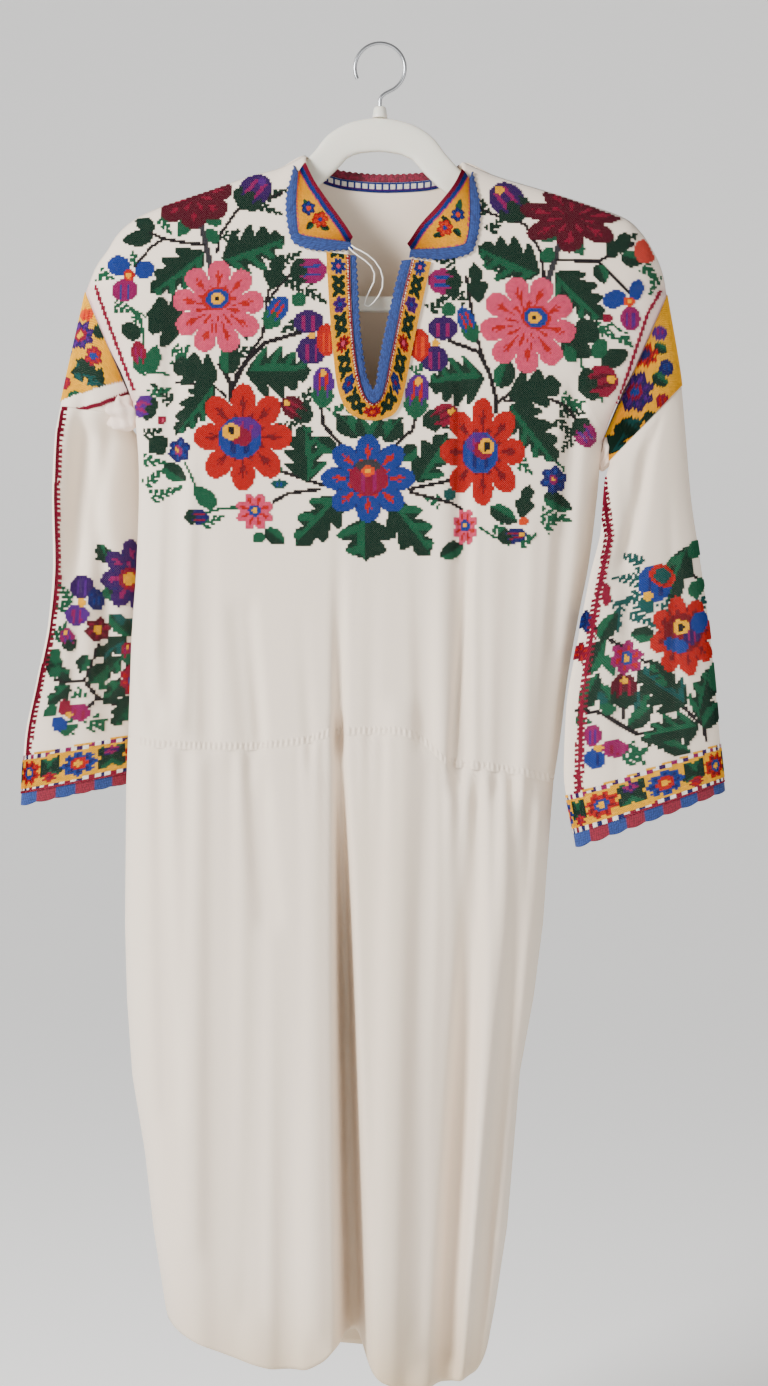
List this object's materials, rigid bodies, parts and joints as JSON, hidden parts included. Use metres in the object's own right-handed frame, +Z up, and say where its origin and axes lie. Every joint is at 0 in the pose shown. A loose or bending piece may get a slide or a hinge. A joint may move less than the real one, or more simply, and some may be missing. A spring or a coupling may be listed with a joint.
{
  "type": "embroidered folk dress on a hanger",
  "caption": "Long linen folk dress with embroidered front, sleeves and slit band, turned-down collar and gathered skirt, hanging on a moulded hanger",
  "frame": {"origin": "inside top of the hanger's hook, where the rail bears", "axes": "+Z up, against the hang; -Y out of the dress's front; +X to the right when the front is seen"},
  "size_m": [0.6674, 0.1274, 1.2634],
  "materials": {
    "linen": "plain weave",
    "embroidered_band": "cross-stitch",
    "blue_crochet": "crochet",
    "crimson_crochet": "crochet",
    "tie_thread": "twisted thread",
    "cream_plastic": "satin",
    "hook_steel": "brushed"
  },
  "bodies": {
    "root": {"bodice_front": "linen", "bodice_back": "linen", "skirt_front": "linen", "skirt_back": "linen", "shoulder_band_left": "embroidered_band", "shoulder_band_right": "embroidered_band", "sleeve_left": "linen", "sleeve_right": "linen", "cuff_edging_left": "blue_crochet", "cuff_edging_right": "blue_crochet", "slit_band": "embroidered_band", "slit_edging": "blue_crochet", "collar_left": "linen", "collar_right": "linen", "collar_edging_left": "blue_crochet", "collar_edging_right": "blue_crochet", "neck_edging": "crimson_crochet", "thread_tie": "tie_thread", "hanger_frame": "cream_plastic", "hanger_knob": "cream_plastic", "hanger_hook": "hook_steel"}
  },
  "joints": []
}
